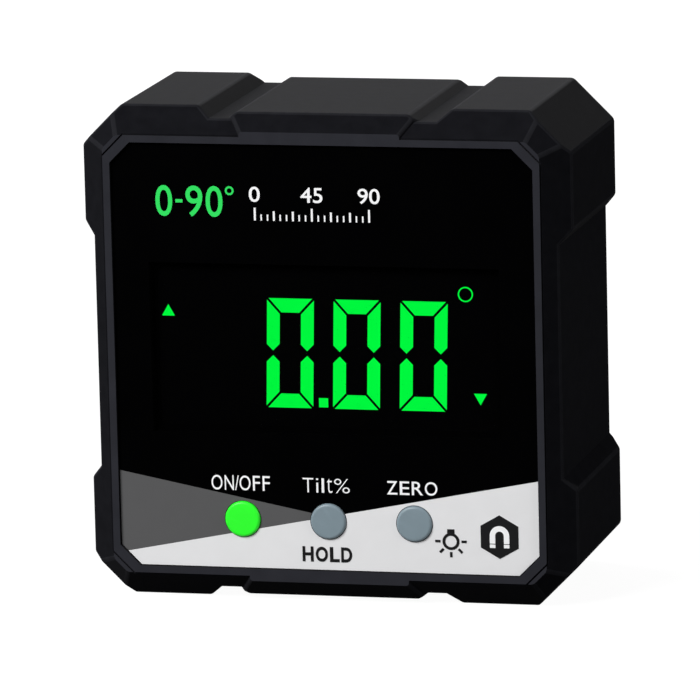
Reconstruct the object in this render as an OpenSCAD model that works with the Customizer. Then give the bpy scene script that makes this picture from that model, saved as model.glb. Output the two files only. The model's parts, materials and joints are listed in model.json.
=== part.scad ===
/* [Case] */
// Width and height of the square case
case_size = 60.4; // [59:0.2:68]
// Depth from the front rim to the rear face
case_depth = 29; // [28:0.5:36]
// Leg of the cut-off case corners
corner_leg = 5; // [4:0.25:6]
// Run of the front chamfer, along the face and into the depth
front_chamfer = 3.3; // [2.6:0.1:3.5]
// Run of the smaller front chamfer across each corner
corner_chamfer = 2.3; // [1.8:0.1:2.5]
// Chamfer round the rear edge
rear_chamfer = 0.8; // [0.4:0.1:1.2]
// Thickness of the wall behind the front panel
front_wall = 1.5; // [1.2:0.1:2]
// Distance from the outer reference faces to the inner cavity
side_wall = 4.4; // [3.8:0.1:4.6]

/* [Edge blocks] */
// Flat length of each corner block along the top and the bottom
end_block_length = 9.55; // [8:0.05:10]
// Flat length of each corner block along the left and right sides
side_block_length = 9.35; // [7:0.05:11]
// Depth of the groove beside the centre pad on the top and the bottom
groove_depth = 1.38; // [1:0.02:1.6]
// Depth of the hollow between the corner blocks of each side
side_hollow_depth = 1.48; // [1:0.02:1.6]
// Run of the slope between a corner block and its groove or hollow
notch_slope = 1.65; // [1:0.05:2]
// Length of the centre pad at its flat
pad_length = 21.2; // [18:0.5:22]
// Distance of the pad's flat below the corner blocks
pad_drop = 0.55; // [0.3:0.05:0.7]
// Run of the slope at each end of the pad
pad_slope = 1.17; // [0.8:0.05:1.4]
// Distance that the pad's front chamfer stands above the case chamfer
pad_lip = 0.65; // [0.4:0.05:0.8]
// Length that each end of the pad gives up towards the rim
pad_nose = 1.3; // [0.8:0.1:1.6]

/* [Front panel] */
// Width of the flat rim round the panel
rim_width = 0.95; // [0.8:0.05:1.2]
// Leg of the rim's cut-off corners
rim_corner = 2.6; // [2.4:0.1:2.8]
// Width and depth of the fine groove outside the rim
rim_groove = 0.2; // [0.1:0.05:0.25]
// Distance of the panel's face behind the rim
panel_recess = 0.4; // [0.2:0.05:0.6]
// Thickness of the front panel
panel_thickness = 1; // [0.8:0.1:1.4]
// Leg of the panel's cut-off corners
panel_corner = 2.47; // [2:0.1:3]
// Gap between the panel and the rim
panel_gap = 0.1; // [0.05:0.05:0.2]
// Thickness of the mounting tape behind the panel
tape_thickness = 0.15; // [0.1:0.05:0.3]
// Thickness of the printed colour fields
ink_thickness = 0.04; // [0.02:0.01:0.08]
// Height of the meeting point of the printed wedge above the button row
wedge_rise = 0.55; // [0.2:0.05:0.9]
// Width of the print left above the holes of the outer buttons
print_strip = 0.35; // [0.1:0.05:0.5]

/* [Buttons] */
// Diameter of a button
button_diameter = 4.4; // [4:0.1:5]
// Distance of the outer buttons from the panel's left and right edges
button_margin = 15.3; // [15:0.1:16]
// Height of the button row above the panel's lower edge
button_height = 6; // [5.5:0.1:7]
// Radial gap between a button and its hole
button_gap = 0.08; // [0.05:0.01:0.2]
// Radius of the rounded edge of a button's face
button_edge = 0.35; // [0.2:0.05:0.4]
// Width of a button's retaining flange
flange_width = 0.85; // [0.6:0.05:1]
// Thickness of a button's retaining flange
flange_thickness = 0.8; // [0.6:0.1:1]
// Gap between the flange at rest and the front wall
flange_gap = 0.1; // [0.05:0.05:0.15]
// Travel of a pressed button
press_travel = 0.3; // [0.2:0.05:0.35]
// Width of a tact switch body
switch_width = 4.5; // [4:0.1:5]
// Height of a tact switch body
switch_height = 2.8; // [2.6:0.1:3]
// Diameter of a switch stem
stem_diameter = 1.8; // [1.4:0.1:2.2]
// Radial gap between a stem and its bore
stem_gap = 0.15; // [0.1:0.05:0.2]
// Length of a stem inside its switch at rest
stem_engagement = 0.8; // [0.6:0.1:1]

/* [Display] */
// Distance of the display glass from the panel's left and right edges
lcd_margin = 3.15; // [2.5:0.05:4]
// Height of the display glass
lcd_height = 23.2; // [22:0.2:24]
// Thickness of the display glass
lcd_thickness = 1.6; // [1.5:0.1:2]
// Height of the display's centre above the centre of the face
lcd_rise = 1; // [0:0.25:1.5]
// Gap round the display glass
lcd_gap = 0.1; // [0.05:0.05:0.15]
// Border of the glass that the panel covers
window_border = 1.2; // [1:0.1:1.4]
// Width of the tape under the window's edge
window_ledge = 0.7; // [0.5:0.1:0.8]
// Gap round the clear window
window_gap = 0.04; // [0.02:0.01:0.1]
// Thickness of a lit segment
segment_thickness = 0.05; // [0.03:0.01:0.08]
// Width of a digit
digit_width = 5.8; // [5.2:0.05:6]
// Height of a digit
digit_height = 13.4; // [12:0.1:14]
// Stroke of a digit's level segments
digit_stroke = 1.72; // [1.4:0.02:1.8]
// Stroke of a digit's upright segments
upright_stroke = 1.58; // [1.3:0.02:1.8]
// Lean of the digits, in degrees
digit_slant = 1.7; // [0:0.1:6]
// Distance between neighbouring digits
digit_pitch = 8.25; // [8:0.05:8.5]
// Gap between neighbouring segments
segment_gap = 0.42; // [0.2:0.02:0.5]
// Gap between the upper and lower uprights of a digit
tip_gap = 0.58; // [0.4:0.02:0.8]
// Thickness of the backlight guide
guide_thickness = 2; // [1.6:0.1:2.4]
// Wall of the display frame
frame_wall = 1.2; // [1:0.1:1.3]
// Floor of the display frame
frame_floor = 0.6; // [0.5:0.1:0.8]
// Width of the elastomer connector strip
strip_width = 1.6; // [1.2:0.1:1.8]
// Distance of the connector strip's ends from the sides of the glass
strip_inset = 4.3; // [3:0.1:6]

/* [Board] */
// Distance from the front wall to the circuit board
board_standoff = 4.55; // [4.4:0.05:5.5]
// Thickness of the circuit board
board_thickness = 1.6; // [1.2:0.1:1.8]
// Gap between the board and the cavity walls
board_gap = 0.5; // [0.3:0.1:0.8]
// Diameter of a board boss
board_boss_diameter = 4.6; // [4.2:0.1:5]
// Diameter of a board screw's shank
board_screw_diameter = 2; // [1.6:0.1:2.2]
// Length of a board screw's shank
board_screw_length = 5; // [4:0.1:5.5]
// Diameter of a board screw's head
board_screw_head = 3.8; // [3.4:0.1:4]
// Gap between a board boss and the flange of the outer button beside it
boss_gap = 0.72; // [0.4:0.02:1.2]
// Distance of the board screws from the upper and lower board edges
board_screw_margin = 4.8; // [4.2:0.1:5.2]

/* [Rear cover] */
// Thickness of the rear cover plate
cover_thickness = 2.4; // [2.2:0.1:2.8]
// Width of the case ledge that carries the cover
cover_ledge = 1.2; // [1:0.1:1.3]
// Gap between the cover and the case
cover_gap = 0.15; // [0.1:0.05:0.2]
// Leg of the cover's cut-off corners
cover_corner = 3; // [2.5:0.1:4]
// Thickness of the cover seal
seal_thickness = 0.6; // [0.4:0.1:0.8]
// Distance of the cover screws from the outer faces
cover_screw_inset = 7.3; // [6.9:0.1:7.4]
// Diameter of the cover posts
cover_post_diameter = 6.4; // [6:0.1:6.8]
// Diameter of a cover screw's shank
cover_screw_diameter = 2.5; // [2:0.1:2.8]
// Length of a cover screw's shank
cover_screw_length = 10; // [8:0.5:14]
// Diameter of a cover screw's head
cover_screw_head = 4.3; // [4:0.1:4.6]
// Height of a cover screw's head
cover_screw_head_height = 1.4; // [1:0.1:1.5]
// Gap round a screw in the hole it passes
screw_gap = 0.2; // [0.1:0.05:0.3]
// Gap round a screw's thread in its post
thread_gap = 0.04; // [0.02:0.01:0.08]

/* [Battery] */
// Diameter of a cell
cell_diameter = 10.5; // [10:0.1:12]
// Diameter of a cell's positive nub
nub_diameter = 3.8; // [3:0.1:4.5]
// Length of a cell's positive nub
nub_length = 1; // [0.8:0.1:1.4]
// Gap round the cells in their bay
cell_gap = 0.2; // [0.1:0.05:0.3]
// Room between the cells and the battery door
cell_headroom = 1.15; // [1:0.05:1.4]
// Wall of the battery bay
bay_wall = 1; // [0.8:0.1:1.2]
// Gap between the battery bay and the case
bay_gap = 0.4; // [0.3:0.05:0.6]
// Thickness of a contact plate
contact_thickness = 0.4; // [0.3:0.05:0.5]
// Margin of a contact plate inside the bay
contact_margin = 0.8; // [0.6:0.1:1.2]
// Diameter of the spring wire
spring_wire = 0.5; // [0.4:0.05:0.6]
// Radius of a spring's wide end
spring_wide = 3.6; // [3.2:0.1:4]
// Radius of a spring's narrow end
spring_narrow = 2.2; // [1.8:0.1:2.4]
// Number of turns of a spring
spring_turns = 3.5; // [3:0.5:4]
// Length of a spring that a cell presses
spring_length = 3.5; // [3:0.1:5]

/* [Battery door] */
// Thickness of the battery door
door_thickness = 1.6; // [1.4:0.1:1.7]
// Width of the ledge round the bay that carries the door
door_ledge = 0.9; // [0.7:0.05:1]
// Gap round the battery door
door_gap = 0.2; // [0.15:0.05:0.3]
// Width of each hinge tongue
tongue_width = 6; // [4:0.5:8]
// Distance of the hinge tongues from the middle
tongue_offset = 14; // [10:0.5:17]
// Thickness of a hinge tongue
tongue_thickness = 1.1; // [0.9:0.1:1.2]
// Reach of a hinge tongue under the cover's lip
tongue_reach = 1.4; // [1.2:0.1:1.6]
// Width of the latch at the door's upper edge
latch_width = 10; // [8:0.5:14]
// Length of the slits beside the latch
latch_length = 4.5; // [3.5:0.25:6]
// Width of the slits beside the latch
latch_slit = 0.7; // [0.5:0.1:0.9]
// Height of the ribs that hold the cells down
rib_height = 0.8; // [0.5:0.05:0.9]
// Width of the ribs that hold the cells down
rib_width = 1.2; // [1:0.1:2]
// Length of the ribs that hold the cells down
rib_length = 30; // [20:1:36]

/* [Leads] */
// Diameter of a battery lead
lead_diameter = 1.2; // [1:0.1:1.4]
// Reach of a contact's solder tail past the bay wall
tail_reach = 2.4; // [2:0.1:3]
// Width of a contact's solder tail
tail_width = 3; // [2:0.25:4]
// Gap round a solder tail in the bay wall
tail_gap = 0.1; // [0.05:0.05:0.2]

/* [Magnets] */
// Diameter of a base magnet
magnet_diameter = 7; // [5:0.25:8]
// Thickness of a base magnet
magnet_thickness = 2.6; // [2:0.1:3]
// Distance of a magnet's face above the base
magnet_inset = 0; // [0:0.05:0.4]
// Distance of the magnets from the front and rear ends of their corner block
magnet_margin = 2.55; // [2:0.05:4]
// Gap round a magnet in its pocket
magnet_gap = 0.05; // [0.02:0.01:0.1]

/* [Hidden] */

// True circles for every round feature
$fn = 48;
// Overshoot of a cut past the surface that it opens
over = 1;
// Edge of a cutting block that is larger than the case
cutter = 2 * (case_size + case_depth);
// Turn from the middle of a side to the corner beside it
corner_turn = 45;

// Colours
case_black = [0.11, 0.11, 0.12];
panel_black = [0.02, 0.02, 0.02];
ink_white = [0.87, 0.87, 0.88];
ink_grey = [0.35, 0.35, 0.35];
lit_green = [0, 1, 0.25];
button_green = [0.2, 1, 0.2];
button_grey = [0.5, 0.55, 0.58];
board_green = [0.05, 0.35, 0.16];
metal_grey = [0.72, 0.72, 0.74];

// Frame: depth is counted from the rim plane towards the rear, heights from the face centre
half_case = case_size / 2;
mid_z = half_case;
front_y = -case_depth / 2;
rear_y = case_depth / 2;

// Front face
rim_half = half_case - front_chamfer;
corner_reach = (case_size - corner_leg) / sqrt(2);
panel_half = rim_half - rim_width;
panel_front = panel_recess;
panel_back = panel_front + panel_thickness;
wall_front = panel_back + tape_thickness;
wall_back = wall_front + front_wall;
cavity_half = half_case - side_wall;

// Edge notches and the centre pads
end_notch_half = half_case - corner_leg - end_block_length;
side_notch_half = half_case - corner_leg - side_block_length;
groove_floor = half_case - groove_depth;
pad_flat = half_case - pad_drop;
pad_base_half = pad_length / 2 + pad_slope;
pad_root = rim_half - rim_width / 2;
pad_nose_half = pad_length / 2 - pad_nose + pad_slope / 2;

// Buttons and switches
button_radius = button_diameter / 2;
// Step along the rounded edge of a button's face, in degrees
edge_turn = 15;
button_z = button_height - panel_half;
button_pitch = panel_half - button_margin;
button_hole_radius = button_radius + button_gap;
flange_radius = button_radius + flange_width;
flange_front = wall_back + flange_gap;
flange_back = flange_front + flange_thickness;
board_front = wall_back + board_standoff;
board_back = board_front + board_thickness;
switch_top = board_front - switch_height;
stem_tip = switch_top + stem_engagement;
stem_bore_floor = stem_tip + 2 * press_travel;

// Display
lcd_half_w = panel_half - lcd_margin;
lcd_half_h = lcd_height / 2;
lcd_top = lcd_rise + lcd_half_h;
lcd_bottom = lcd_rise - lcd_half_h;
lcd_front = wall_front;
lcd_back = lcd_front + lcd_thickness;
window_half_w = lcd_half_w - window_border;
window_half_h = lcd_half_h - window_border;
guide_back = lcd_back + guide_thickness;
frame_floor_back = guide_back + frame_floor;
// Depth of a side-firing lamp next to the light guide, its length and its distance from the middle
led_depth = 1.2;
led_length = 3.2;
led_offset = 5;
// Distance of the connector strip from the lower edge of the glass
strip_margin = 0.3;
strip_low = lcd_bottom + strip_margin;
strip_high = strip_low + strip_width;
strip_half = lcd_half_w - strip_inset;
// Room that the light guide leaves for the connector strip
strip_room = strip_margin + strip_width + 0.5;

// Digits and marks of the display, counted from the middle of its lit field
field_shift = -0.37;
digit_count = 3;
first_digit_x = -7.08;
digit_low = -7.31;
dot_size = 1.13;
dot_x = -0.18;
dot_low = -7.17;
degree_radius = 0.93;
degree_stroke = 0.16;
degree_x = 17.61;
degree_z = 7.06;
arrow_width = 1.6;
arrow_height = 1.4;
arrow_inset = 3.58;
up_arrow_z = 3.66;
down_arrow_z = -5.02;

// Circuit board
board_half = cavity_half - board_gap;
post_radius = cover_post_diameter / 2;
cover_screw_place = half_case - cover_screw_inset;
board_corner = 2 * (board_half - cover_screw_place) + sqrt(2) * (post_radius + board_gap);
board_screw_x = button_pitch + flange_radius + boss_gap + board_boss_diameter / 2;
board_screw_z = board_half - board_screw_margin;
board_screw_seat = board_back;
board_screw_tip = board_screw_seat - board_screw_length;
board_screw_head_height = 1.3;
// Room past a screw's tip in its blind hole
tip_room = 0.4;

// Rear cover and battery
rear_depth = case_depth;
cover_front = rear_depth - cover_thickness;
ledge_front = cover_front - seal_thickness;
ledge_half = cavity_half + cover_ledge;
cover_half = ledge_half - cover_gap;
cavity_corner = grown_leg(cover_corner, -cover_ledge);
// Radius of a post's upper end, which stays clear of the seal's corner
post_tip_radius = (2 * (cavity_half - cover_screw_place) - cavity_corner) / sqrt(2);
cover_screw_seat = rear_depth - cover_screw_head_height - 0.2;
cover_screw_tip = cover_screw_seat - cover_screw_length;
door_front = rear_depth - door_thickness;
cell_radius = cell_diameter / 2;
cell_depth = door_front - cell_headroom - cell_radius;
cell_z = cell_radius + cell_gap;
bay_half_h = cell_z + cell_radius + cell_gap;
bay_half_w = cavity_half - bay_gap - bay_wall;
bay_floor = cell_depth - cell_radius - cell_gap;
contact_face = bay_half_w - contact_thickness;
cell_length = 2 * contact_face - spring_length;
door_half_w = bay_half_w + door_ledge;
door_half_h = bay_half_h + door_ledge;
leaf_half_w = door_half_w - door_gap;
leaf_half_h = door_half_h - door_gap;
tongue_front = door_front - tongue_thickness;
// Height of the solder tails' ends, and the bow and lift of a lead on its way to the board
tail_top = bay_half_h + bay_wall + tail_reach;
lead_bow = 4;
lead_lift = 2.6;
// Free swing of the tongue about the door's lower outer edge
tongue_swing = norm([rear_depth - tongue_front, tongue_reach]) + door_gap;

// Magnets
magnet_radius = magnet_diameter / 2;
magnet_x = end_notch_half + end_block_length / 2;
magnet_depth = (front_chamfer + rear_depth - rear_chamfer) / 2;
magnet_row = (rear_depth - rear_chamfer - front_chamfer) / 2 - magnet_margin - magnet_radius;

// Extrudes a face outline between two depths behind the rim plane
module slab(from, to) {
    translate([0, front_y + to, mid_z])
        rotate([90, 0, 0])
            linear_extrude(height = to - from)
                children();
}

// Round bar along the depth
module rod(place, radius, from, to) {
    translate([place[0], front_y + from, mid_z + place[1]])
        rotate([-90, 0, 0])
            cylinder(r = radius, h = to - from);
}

// Rectangle between two corners
module rect(low, high) {
    translate(low)
        square(high - low);
}

// Rectangle centred on the middle line with its own half width and height limits
module band(half_w, low, high) {
    rect([-half_w, low], [half_w, high]);
}

// Leg of an octagon whose sides have all moved out by one distance
function grown_leg(leg, distance) = leg + (2 - sqrt(2)) * distance;

// Square with cut-off corners
module octagon(half, leg) {
    flat = half - leg;
    polygon([
        [flat, half], [half, flat], [half, -flat], [flat, -half],
        [-flat, -half], [-half, -flat], [-half, flat], [-flat, half]
    ]);
}

// Everything outside a 45 degree plane that leans back from the front face
module front_wedge(turn, start) {
    translate([0, front_y, mid_z])
        rotate([0, turn, 0])
            translate([0, 0, start])
                rotate([45, 0, 0])
                    translate([-cutter / 2, -cutter / 2, 0])
                        cube(cutter);
}

// Everything outside a 45 degree plane that leans forward from the rear face
module rear_wedge(turn, start) {
    translate([0, rear_y, mid_z])
        rotate([0, turn, 0])
            translate([0, 0, start])
                rotate([-45, 0, 0])
                    translate([-cutter / 2, -cutter / 2, 0])
                        cube(cutter);
}

// Notch with sloped ends in the upper edge of the case outline
module edge_notch(half, depth) {
    floor_half = half - notch_slope;
    polygon([
        [-floor_half, half_case - depth], [floor_half, half_case - depth],
        [half, half_case], [half, half_case + over],
        [-half, half_case + over], [-half, half_case]
    ]);
}

// Front view of the case without its pads
module case_outline() {
    difference() {
        octagon(half_case, corner_leg);
        for (turn = [0, 180])
            rotate(turn) edge_notch(end_notch_half, groove_depth);
        for (turn = [90, 270])
            rotate(turn) edge_notch(side_notch_half, side_hollow_depth);
    }
}

// Pad in the middle of the upper edge, with a proud front chamfer and slanted front ends
module centre_pad() {
    nose_run = pad_nose + pad_slope;
    difference() {
        intersection() {
            slab(0, rear_depth)
                polygon([
                    [-pad_base_half, pad_root], [pad_base_half, pad_root],
                    [pad_base_half, groove_floor], [pad_length / 2, pad_flat],
                    [-pad_length / 2, pad_flat], [-pad_base_half, groove_floor]
                ]);
            translate([0, front_y, mid_z])
                linear_extrude(height = half_case + over)
                    polygon([
                        [-pad_nose_half, 0], [pad_nose_half, 0],
                        [pad_base_half, nose_run], [pad_base_half, rear_depth],
                        [-pad_base_half, rear_depth], [-pad_base_half, nose_run]
                    ]);
        }
        front_wedge(0, rim_half + pad_lip);
    }
}

// Solid case body with chamfers, the fine groove outside the rim, and pads that bridge the groove
module case_block() {
    difference() {
        union() {
            difference() {
                slab(0, rear_depth) case_outline();
                for (turn = [0:90:270]) {
                    front_wedge(turn, rim_half);
                    front_wedge(turn + corner_turn, corner_reach - corner_chamfer);
                }
                slab(-over, rim_groove)
                    difference() {
                        octagon(rim_half + rim_groove, grown_leg(rim_corner, rim_groove));
                        octagon(rim_half, rim_corner);
                    }
            }
            for (side = [0, 180])
                translate([0, 0, mid_z])
                    rotate([0, side, 0])
                        translate([0, 0, -mid_z])
                            centre_pad();
        }
        for (turn = [0:90:270]) {
            rear_wedge(turn, half_case - rear_chamfer);
            rear_wedge(turn + corner_turn, corner_reach - rear_chamfer);
        }
    }
}

// Places of the three buttons along their row
function button_place(index) = [(index - 1) * button_pitch, button_z];

// Puts a copy at each of four mirrored places
module at_corners(x, z) {
    for (side_x = [-1, 1], side_z = [-1, 1])
        translate([side_x * x, 0, side_z * z])
            children();
}

// Places of the magnets in the two lower corner blocks
module at_magnets() {
    for (side = [-1, 1], row = [-1, 1])
        translate([side * magnet_x, front_y + magnet_depth + row * magnet_row, 0])
            children();
}

module front_housing() {
    color(case_black)
    difference() {
        union() {
            difference() {
                case_block();
                slab(-over, wall_front)
                    octagon(panel_half + panel_gap, grown_leg(panel_corner, panel_gap));
                slab(wall_back, rear_depth)
                    octagon(cavity_half, cavity_corner);
                slab(ledge_front, rear_depth + over)
                    octagon(ledge_half, cover_corner);
            }
            at_corners(board_screw_x, board_screw_z)
                rod([0, 0], board_boss_diameter / 2, wall_back, board_front);
            at_corners(cover_screw_place, cover_screw_place) {
                rod([0, 0], post_radius, wall_back, ledge_front);
                rod([0, 0], post_tip_radius, wall_back, cover_front);
            }
        }
        slab(wall_front - over, wall_back + over)
            band(lcd_half_w + lcd_gap, lcd_bottom - lcd_gap, lcd_top + lcd_gap);
        for (index = [0:2])
            rod(button_place(index), button_hole_radius, wall_front - over, wall_back + over);
        at_corners(board_screw_x, board_screw_z)
            rod([0, 0], board_screw_diameter / 2 + thread_gap, board_screw_tip - tip_room, board_front + over);
        at_corners(cover_screw_place, cover_screw_place)
            rod([0, 0], cover_screw_diameter / 2 + thread_gap, cover_screw_tip - tip_room, cover_front + over);
        at_magnets()
            translate([0, 0, -over])
                cylinder(r = magnet_radius + magnet_gap, h = magnet_inset + magnet_thickness + over);
    }
}

// Outline of the panel with its button holes
module panel_outline() {
    difference() {
        octagon(panel_half, panel_corner);
        for (index = [0:2])
            translate(button_place(index)) circle(r = button_hole_radius);
    }
}

module face_panel() {
    color(panel_black)
    slab(panel_front, panel_back)
        difference() {
            panel_outline();
            band(window_half_w, lcd_rise - window_half_h, lcd_rise + window_half_h);
        }
}

// Meeting point of the printed wedge and the fall or rise of its edges at the panel's side
wedge_z = button_z + wedge_rise;
wedge_fall = panel_half * (button_hole_radius + print_strip - wedge_rise) / button_pitch;

module white_print() {
    color(ink_white)
    slab(panel_front - ink_thickness, panel_front)
        intersection() {
            panel_outline();
            polygon([
                [-panel_half, -panel_half], [-panel_half, wedge_z - wedge_fall], [0, wedge_z],
                [panel_half, wedge_z + wedge_fall], [panel_half, -panel_half]
            ]);
        }
}

module grey_print() {
    color(ink_grey)
    slab(panel_front - ink_thickness, panel_front)
        intersection() {
            panel_outline();
            polygon([
                [-panel_half, wedge_z - wedge_fall], [0, wedge_z], [-panel_half, wedge_z + wedge_fall]
            ]);
        }
}

module panel_tape() {
    color([0.2, 0.2, 0.22])
    slab(panel_back, wall_front)
        difference() {
            panel_outline();
            band(
                window_half_w - window_ledge,
                lcd_rise - window_half_h + window_ledge,
                lcd_rise + window_half_h - window_ledge
            );
        }
}

module display_window() {
    color([0.25, 0.27, 0.28, 0.25])
    slab(panel_front, panel_back)
        band(
            window_half_w - window_gap,
            lcd_rise - window_half_h + window_gap,
            lcd_rise + window_half_h - window_gap
        );
}

module lcd_glass() {
    color([0.03, 0.03, 0.035])
    slab(lcd_front, lcd_back)
        band(lcd_half_w, lcd_bottom, lcd_top);
}

// Horizontal segment at the top of a digit, mitred at both ends
module top_segment() {
    polygon([
        [segment_gap / 2, digit_height], [digit_width - segment_gap / 2, digit_height],
        [digit_width - upright_stroke - segment_gap / 2, digit_height - digit_stroke],
        [upright_stroke + segment_gap / 2, digit_height - digit_stroke]
    ]);
}

// Upright segment at the upper left of a digit, mitred above and pointed below
module side_segment() {
    tip = (digit_height + tip_gap) / 2;
    polygon([
        [0, digit_height - segment_gap / 2],
        [upright_stroke, digit_height - digit_stroke - segment_gap / 2],
        [upright_stroke, tip + upright_stroke / 2],
        [upright_stroke / 2, tip],
        [0, tip + upright_stroke / 2]
    ]);
}

// Seven-segment zero that leans about its middle, in a box with its lower left corner at the origin
module zero_digit() {
    lean = tan(digit_slant);
    multmatrix([
        [1, lean, 0, -lean * digit_height / 2],
        [0, 1, 0, 0],
        [0, 0, 1, 0],
        [0, 0, 0, 1]
    ])
    for (lower = [0, 1])
        translate([0, lower * digit_height])
            mirror([0, lower]) {
                top_segment();
                for (right = [0, 1])
                    translate([right * digit_width, 0])
                        mirror([right, 0]) side_segment();
            }
}

// Solid triangle that points up, with its base in the middle
module arrow() {
    polygon([[-arrow_width / 2, 0], [arrow_width / 2, 0], [0, arrow_height]]);
}

module lcd_segments() {
    color(lit_green)
    slab(lcd_front - segment_thickness, lcd_front)
        translate([field_shift, lcd_rise]) {
            for (index = [0:digit_count - 1])
                translate([first_digit_x + index * digit_pitch, digit_low])
                    zero_digit();
            translate([dot_x - dot_size / 2, dot_low])
                square(dot_size);
            translate([degree_x, degree_z])
                difference() {
                    circle(r = degree_radius);
                    circle(r = degree_radius - degree_stroke);
                }
            translate([arrow_inset - lcd_half_w, up_arrow_z])
                arrow();
            translate([lcd_half_w - arrow_inset, down_arrow_z])
                mirror([0, 1]) arrow();
        }
}

module light_guide() {
    color([0.9, 0.93, 0.95])
    slab(lcd_back, guide_back)
        rect([-lcd_half_w, lcd_bottom + strip_room], [lcd_half_w - led_depth, lcd_top]);
}

module backlight_leds() {
    color([0.95, 0.95, 0.8])
    for (side = [-1, 1])
        slab(lcd_back, guide_back)
            translate([lcd_half_w - led_depth, lcd_rise + side * led_offset - led_length / 2])
                square([led_depth, led_length]);
}

module lcd_frame() {
    outer_w = lcd_half_w + lcd_gap + frame_wall;
    color([0.88, 0.88, 0.86])
    difference() {
        slab(wall_back, board_front)
            band(outer_w, lcd_bottom - lcd_gap - frame_wall, lcd_top + lcd_gap + frame_wall);
        slab(wall_back - over, guide_back)
            band(lcd_half_w + lcd_gap, lcd_bottom - lcd_gap, lcd_top + lcd_gap);
        slab(frame_floor_back, board_front + over)
            band(lcd_half_w + lcd_gap, lcd_bottom - lcd_gap, lcd_top + lcd_gap);
        slab(guide_back - over, frame_floor_back + over)
            band(strip_half + lcd_gap, strip_low - lcd_gap, strip_high + lcd_gap);
    }
}

module connector_strip() {
    color([0.95, 0.6, 0.65])
    slab(lcd_back, board_front)
        band(strip_half, strip_low, strip_high);
}

module main_board() {
    color(board_green)
    difference() {
        slab(board_front, board_back)
            octagon(board_half, board_corner);
        at_corners(board_screw_x, board_screw_z)
            rod([0, 0], board_screw_diameter / 2 + screw_gap, board_front - over, board_back + over);
    }
}

// Flat package on the rear of the board, centred on a place
module board_part(place, size, height) {
    slab(board_back, board_back + height)
        translate(place - size / 2)
            square(size);
}

// Gull-wing leads along the four sides of the controller
pin_count = 8;
pin_pitch = 1;
pin_width = 0.45;
pin_thickness = 0.25;
pin_reach = 1;
chip_place = [-9, -2];
chip_size = [10, 10];
chip_height = 1.4;

module controller_chip() {
    color([0.08, 0.08, 0.09]) {
        board_part(chip_place, chip_size, chip_height);
        slab(board_back, board_back + pin_thickness)
            translate(chip_place)
                for (turn = [0:90:270], index = [0:pin_count - 1])
                    rotate(turn)
                        translate([
                            (index - (pin_count - 1) / 2) * pin_pitch - pin_width / 2,
                            chip_size[0] / 2 - pin_reach
                        ])
                            square([pin_width, 2 * pin_reach]);
    }
}

sensor_place = [6, 2];
sensor_size = [5, 5];
sensor_height = 1.5;

module tilt_sensor() {
    color([0.75, 0.7, 0.45])
    board_part(sensor_place, sensor_size, sensor_height);
}

crystal_place = [-9, 10];
crystal_size = [5, 3.2];
crystal_height = 1.3;

module clock_crystal() {
    color(metal_grey)
    board_part(crystal_place, crystal_size, crystal_height);
}

capacitor_count = 6;
capacitor_size = [2, 1.25];
capacitor_height = 0.9;
capacitor_pitch = 4;
capacitor_z = -13;

module chip_capacitors() {
    color([0.65, 0.5, 0.35])
    for (index = [0:capacitor_count - 1])
        board_part(
            [(index - (capacitor_count - 1) / 2) * capacitor_pitch, capacitor_z],
            capacitor_size,
            capacitor_height
        );
}

module switch_bodies() {
    color([0.15, 0.15, 0.16])
    for (index = [0:2])
        difference() {
            slab(switch_top, board_front)
                translate(button_place(index) - [switch_width, switch_width] / 2)
                    square(switch_width);
            rod(button_place(index), stem_diameter / 2 + stem_gap, switch_top - over, stem_bore_floor);
        }
}

// Button cap with a rounded face and a flange behind the front wall
module button_cap(index, tint) {
    place = button_place(index);
    color(tint)
    translate([place[0], front_y, mid_z + place[1]])
        rotate([-90, 0, 0])
            rotate_extrude()
                polygon(concat(
                    [[0, 0]],
                    [for (turn = [0:edge_turn:90]) [
                        button_radius - button_edge * (1 - sin(turn)), button_edge * (1 - cos(turn))
                    ]],
                    [
                        [button_radius, flange_front], [flange_radius, flange_front],
                        [flange_radius, flange_back], [0, flange_back]
                    ]
                ));
}

// Plunger of a tact switch, from the button's back into its bore
module switch_stem(index) {
    color([0.1, 0.1, 0.1])
    rod(button_place(index), stem_diameter / 2, flange_back, stem_tip);
}

module power_button() {
    button_cap(0, button_green);
}

module hold_button() {
    button_cap(1, button_grey);
}

module zero_button() {
    button_cap(2, button_grey);
}

module power_switch_stem() {
    switch_stem(0);
}

module hold_switch_stem() {
    switch_stem(1);
}

module zero_switch_stem() {
    switch_stem(2);
}

// Reach and width of a screw's cross recess, as shares of the head's diameter
recess_reach = 0.6;
recess_width = 0.15;
// Depth of a screw's cross recess, as a share of the head's height
recess_depth = 0.6;

// Screw along the depth axis, with a cross recess in its head towards the rear
module screw(shank, length, head, head_height, seat) {
    top = seat + head_height;
    difference() {
        union() {
            rod([0, 0], shank / 2, seat - length, seat);
            rod([0, 0], head / 2, seat, top);
        }
        slab(top - recess_depth * head_height, top + over)
            for (turn = [0, 90])
                rotate(turn)
                    square([recess_reach * head, recess_width * head], center = true);
    }
}

module board_screws() {
    color(metal_grey)
    at_corners(board_screw_x, board_screw_z)
        screw(
            board_screw_diameter, board_screw_length,
            board_screw_head, board_screw_head_height, board_screw_seat
        );
}

module cover_screws() {
    color(metal_grey)
    at_corners(cover_screw_place, cover_screw_place)
        screw(
            cover_screw_diameter, cover_screw_length,
            cover_screw_head, cover_screw_head_height, cover_screw_seat
        );
}

// Mirrored copies at the two hinge tongues
module at_tongues() {
    for (side = [-1, 1])
        translate([side * tongue_offset, 0, 0])
            children();
}

// Radius of the finger scoop above the door and its depth into the cover
scoop_radius = 5;
scoop_depth = 1.2;

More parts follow.
